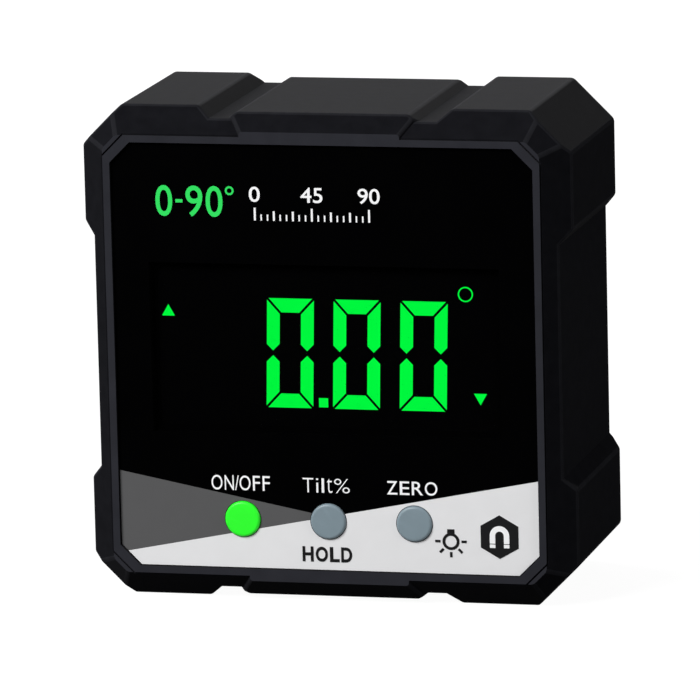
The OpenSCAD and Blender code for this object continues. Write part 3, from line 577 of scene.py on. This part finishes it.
def buttons():
    """Button caps with a smooth rounded edge."""
    for key, slot in (("power", "green_button"), ("hold", "grey_button"), ("zero", "grey_button")):
        node = key + "_button"
        name = key + "_cap"
        bm = bmesh.new()
        bm.from_mesh(nodes[node].data)
        bmesh.ops.remove_doubles(bm, verts=bm.verts, dist=WELD)
        piece = add_object(name, finish_mesh(bm, name), MATERIALS[slot], key + "_key")
        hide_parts(node)
        keep_flats_flat(piece)


# Print on the panel, in millimetres from the middle of the face
def add_print(name, bm, material):
    """Closed piece as thick as the ink, from flat faces on its front."""
    bmesh.ops.remove_doubles(bm, verts=bm.verts, dist=WELD)
    grown = bmesh.ops.extrude_face_region(bm, geom=list(bm.faces))
    moved = [item for item in grown["geom"] if isinstance(item, bmesh.types.BMVert)]
    bmesh.ops.translate(bm, verts=moved, vec=(0, INK, 0))
    add_object(name, finish_mesh(bm, name), material)


def add_letters(bm, word, text, start, end, front):
    """Flat letters that are stretched to their share of the word's box."""
    low, high = word.low, word.high
    curve = bpy.data.curves.new(word.name + "_curve", "FONT")
    curve.body = text
    curve.offset = word.weight
    curve.resolution_u = LETTER_STEPS
    holder = bpy.data.objects.new(word.name + "_holder", curve)
    bpy.context.scene.collection.objects.link(holder)
    flat = holder.evaluated_get(bpy.context.evaluated_depsgraph_get()).to_mesh()
    xs = [vert.co.x for vert in flat.vertices]
    ys = [vert.co.y for vert in flat.vertices]
    width = (high[0] - low[0]) * (end - start) / (max(xs) - min(xs))
    height = (high[1] - low[1]) / (max(ys) - min(ys))
    left = low[0] + start * (high[0] - low[0])
    first = len(bm.verts)
    bm.from_mesh(flat)
    bm.verts.ensure_lookup_table()
    for vert in bm.verts[first:]:
        x = left + (vert.co.x - min(xs)) * width
        z = low[1] + (vert.co.y - min(ys)) * height
        vert.co = (x * MM, front, MID_Z + z * MM)
    holder.to_mesh_clear()
    bpy.data.objects.remove(holder)
    bpy.data.curves.remove(curve)


def lettering(word, front, material):
    """Printed word from its letters."""
    bm = bmesh.new()
    for text, start, end in word.letters:
        add_letters(bm, word, text, start, end, front)
    for face in bm.faces:
        face.smooth = False
    add_print(word.name, bm, material)


def add_polygon(bm, points, front):
    """Flat face from points."""
    bm.faces.new([bm.verts.new((x * MM, front, MID_Z + z * MM)) for x, z in points])


def add_ring(bm, outer, inner, front):
    """Flat ring between two loops with the same number of points."""
    loops = [[bm.verts.new((x * MM, front, MID_Z + z * MM)) for x, z in loop] for loop in (outer, inner)]
    count = len(outer)
    for index in range(count):
        after = (index + 1) % count
        bm.faces.new([loops[0][index], loops[0][after], loops[1][after], loops[1][index]])


def rectangle(x, z, other_x, other_z):
    """Corners of an upright rectangle between two opposite ones."""
    return [(x, z), (other_x, z), (other_x, other_z), (x, other_z)]


def arc(center, radius, start, end, steps):
    """Points along an arc, with angles in degrees."""
    turns = [math.radians(start + (end - start) * step / steps) for step in range(steps + 1)]
    return [(center[0] + radius * math.cos(turn), center[1] + radius * math.sin(turn)) for turn in turns]


def circle(center, radius, steps, start=0):
    """Points round a circle, the first at an angle in degrees."""
    return arc(center, radius, start, start + 360, steps)[:-1]


def turned_bar(center, turn, start, end, width):
    """Corners of a bar that points away from a centre."""
    along = (math.cos(math.radians(turn)), math.sin(math.radians(turn)))
    across = (-along[1] * width / 2, along[0] * width / 2)
    ends = [(center[0] + reach * along[0], center[1] + reach * along[1]) for reach in (start, end)]
    return [
        (ends[0][0] + across[0], ends[0][1] + across[1]), (ends[1][0] + across[0], ends[1][1] + across[1]),
        (ends[1][0] - across[0], ends[1][1] - across[1]), (ends[0][0] - across[0], ends[0][1] - across[1]),
    ]


def function_words():
    """Words beside the buttons, white above the row and black below it."""
    for word in (POWER_WORD, TILT_WORD, ZERO_WORD):
        lettering(word, INK_Y, WORD_PRINT)
    lettering(HOLD_WORD, FIELD_INK_Y, BLACK_PRINT)


def lamp_sign():
    """Lamp with five rays, for the display light."""
    bm = bmesh.new()
    outer = circle(BULB_CENTER, BULB_RADIUS, BULB_STEPS)
    inner = circle(BULB_CENTER, BULB_RADIUS - BULB_STROKE, BULB_STEPS)
    add_ring(bm, outer, inner, FIELD_INK_Y)
    middle = BULB_CENTER[0]
    top = BULB_CENTER[1] + CAP_RISE
    foot = arc(BULB_CENTER, BULB_RADIUS + CAP_GAP, CAP_FROM, CAP_TO, CAP_STEPS)
    add_polygon(bm, [(middle + CAP_HALF, top), (middle - CAP_HALF, top)] + foot, FIELD_INK_Y)
    for turn in RAY_TURNS:
        add_polygon(bm, turned_bar(BULB_CENTER, turn, RAY_START, RAY_END, RAY_WIDTH), FIELD_INK_Y)
    add_print("sign_lamp", bm, BLACK_PRINT)


def magnet_sign():
    """White horseshoe on a black hexagon, for the magnets in the base."""
    field = bmesh.new()
    hexagon = circle(HEXAGON_CENTER, HEXAGON_RADIUS, HEXAGON_SIDES, HEXAGON_TURN)
    add_polygon(field, hexagon, FIELD_INK_Y)
    add_print("sign_magnet_field", field, BLACK_PRINT)
    horseshoe = bmesh.new()
    bow = (HEXAGON_CENTER[0], HEXAGON_CENTER[1] + BOW_RISE)
    outer = arc(bow, BOW_OUTER, BOW_FROM, BOW_TO, BOW_STEPS)
    inner = arc(bow, BOW_INNER, BOW_FROM, BOW_TO, BOW_STEPS)
    for index in range(BOW_STEPS):
        after = index + 1
        add_polygon(horseshoe, [outer[index], outer[after], inner[after], inner[index]], SIGN_INK_Y)
    for side in (-1, 1):
        near = bow[0] + side * BOW_INNER
        far = bow[0] + side * BOW_OUTER
        for start, end in LEG_PARTS:
            add_polygon(horseshoe, rectangle(near, bow[1] - start, far, bow[1] - end), SIGN_INK_Y)
    add_print("sign_magnet", horseshoe, WORD_PRINT)


def degree_range():
    """Plain range of degrees in green, in the place of the heading."""
    lettering(RANGE_WORD, INK_Y, GREEN_PRINT)
    left, low = RANGE_WORD.low
    right, high = RANGE_WORD.high
    middle = (low + high) / 2
    start, end = (left + share * (right - left) for share in (DASH_START, DASH_END))
    degree = (right - DEGREE_RADIUS, high - DEGREE_RADIUS)
    outer = circle(degree, DEGREE_RADIUS, DEGREE_STEPS)
    inner = circle(degree, DEGREE_RADIUS - DEGREE_STROKE, DEGREE_STEPS)
    marks = bmesh.new()
    add_polygon(marks, rectangle(start, middle - DASH_HALF, end, middle + DASH_HALF), INK_Y)
    add_ring(marks, outer, inner, INK_Y)
    add_print("range_marks", marks, GREEN_PRINT)


def quarter_scale():
    """Graduated quarter turn in white, beside the range."""
    ticks = bmesh.new()
    for index in range(SCALE_STEPS + 1):
        x = SCALE_LEFT + (SCALE_RIGHT - SCALE_LEFT) * index / SCALE_STEPS
        height, half = SHORT_TICK, SHORT_HALF
        if index % LONG_EVERY == 0:
            height, half = LONG_TICK, LONG_HALF
        if index % TALL_EVERY == 0:
            height = TALL_TICK
        add_polygon(ticks, rectangle(x - half, SCALE_FOOT, x + half, SCALE_FOOT + height), INK_Y)
    add_print("scale_ticks", ticks, WORD_PRINT)
    middle = (SCALE_LEFT + SCALE_RIGHT) / 2
    for name, number, x in (("zero", "0", SCALE_LEFT), ("half", "45", middle), ("full", "90", SCALE_RIGHT)):
        half = DIGIT_HALF * len(number)
        low, high = (x - half, NUMBER_LOW), (x + half, NUMBER_HIGH)
        word = Word("scale_" + name, ((number, 0, 1),), low, high, NUMBER_WEIGHT)
        lettering(word, INK_Y, WORD_PRINT)


# Stage, light and camera
def ray_mask(tree):
    """One for rays from the camera, off gloss or through glass, and zero for others."""
    path = tree.nodes.new("ShaderNodeLightPath")
    either = tree.nodes.new("ShaderNodeMath")
    either.operation = "MAXIMUM"
    any_of = tree.nodes.new("ShaderNodeMath")
    any_of.operation = "MAXIMUM"
    tree.links.new(path.outputs["Is Camera Ray"], either.inputs[0])
    tree.links.new(path.outputs["Is Glossy Ray"], either.inputs[1])
    tree.links.new(either.outputs["Value"], any_of.inputs[0])
    tree.links.new(path.outputs["Is Transmission Ray"], any_of.inputs[1])
    return any_of.outputs["Value"]


def pale_floor():
    """White floor that keeps a soft shadow."""
    mesh = bpy.data.meshes.new("floor")
    corners = rectangle(-FLOOR_REACH, -FLOOR_REACH, FLOOR_REACH, FLOOR_REACH)
    mesh.from_pydata([(x, y, 0) for x, y in corners], [], [(0, 1, 2, 3)])
    floor = bpy.data.objects.new("floor", mesh)
    bpy.context.scene.collection.objects.link(floor)
    floor.location.z = CASE_LOW.z - FLOOR_DROP
    material = bpy.data.materials.new("floor")
    material.use_nodes = True
    tree = material.node_tree
    tree.nodes.remove(tree.nodes["Principled BSDF"])
    diffuse = tree.nodes.new("ShaderNodeBsdfDiffuse")
    diffuse.inputs["Color"].default_value = (FLOOR_GREY, FLOOR_GREY, FLOOR_GREY, 1)
    glow = tree.nodes.new("ShaderNodeEmission")
    strength = tree.nodes.new("ShaderNodeMath")
    strength.operation = "MULTIPLY"
    strength.inputs[1].default_value = FLOOR_WHITE
    tree.links.new(ray_mask(tree), strength.inputs[0])
    tree.links.new(strength.outputs["Value"], glow.inputs["Strength"])
    both = tree.nodes.new("ShaderNodeAddShader")
    tree.links.new(diffuse.outputs["BSDF"], both.inputs[0])
    tree.links.new(glow.outputs["Emission"], both.inputs[1])
    tree.links.new(both.outputs["Shader"], tree.nodes["Material Output"].inputs["Surface"])
    mesh.materials.append(material)


def pale_world():
    """White surround for the camera and reflections, with a weak ambient light for the rest."""
    world = bpy.data.worlds.new("surround")
    bpy.context.scene.world = world
    world.use_nodes = True
    tree = world.node_tree
    background = tree.nodes["Background"]
    background.inputs["Color"].default_value = (1, 1, 1, 1)
    level = tree.nodes.new("ShaderNodeMapRange")
    level.inputs["To Min"].default_value = AMBIENT
    level.inputs["To Max"].default_value = 1.0
    tree.links.new(ray_mask(tree), level.inputs["Value"])
    tree.links.new(level.outputs["Result"], background.inputs["Strength"])


def studio_light():
    """Square area lamps that look at the middle of the case.

    The key stands at the upper left in front, two lamps behind and a weak one at the right.
    """
    for name, (direction, distance, power) in LAMPS.items():
        data = bpy.data.lights.new(name, "AREA")
        data.size = LAMP_SIDE
        data.energy = power
        lamp = bpy.data.objects.new(name, data)
        bpy.context.scene.collection.objects.link(lamp)
        towards = Vector(direction).normalized()
        lamp.location = Vector((0, 0, MID_Z)) + towards * distance
        lamp.rotation_mode = "QUATERNION"
        lamp.rotation_quaternion = towards.to_track_quat("Z", "Y")


def photo_camera():
    """Camera fitted to the photograph's edges of the case."""
    data = bpy.data.cameras.new("camera")
    data.sensor_width = SENSOR
    data.lens = FOCAL_PIXELS * SENSOR / IMAGE_SIDE
    data.clip_start = CLIP_NEAR
    data.clip_end = CLIP_FAR
    camera = bpy.data.objects.new("camera", data)
    bpy.context.scene.collection.objects.link(camera)
    turn, lift, roll = (math.radians(value) for value in (AZIMUTH, ELEVATION, ROLL))
    back = Vector((math.sin(turn) * math.cos(lift), -math.cos(turn) * math.cos(lift), math.sin(lift)))
    right = Vector((math.cos(turn), math.sin(turn), 0))
    up = back.cross(right)
    rolled_right = math.cos(roll) * right + math.sin(roll) * up
    rolled_up = math.cos(roll) * up - math.sin(roll) * right
    place = (Vector(TARGET) + back * DISTANCE) * MM
    axes = Matrix((rolled_right, rolled_up, back)).transposed()
    camera.matrix_world = Matrix.Translation(place) @ axes.to_4x4()
    bpy.context.scene.camera = camera


bpy.context.scene.view_settings.view_transform = "Standard"
dress_nodes()
housing()
rear_pieces()
buttons()
function_words()
lamp_sign()
magnet_sign()
degree_range()
quarter_scale()
pale_floor()
pale_world()
studio_light()
photo_camera()
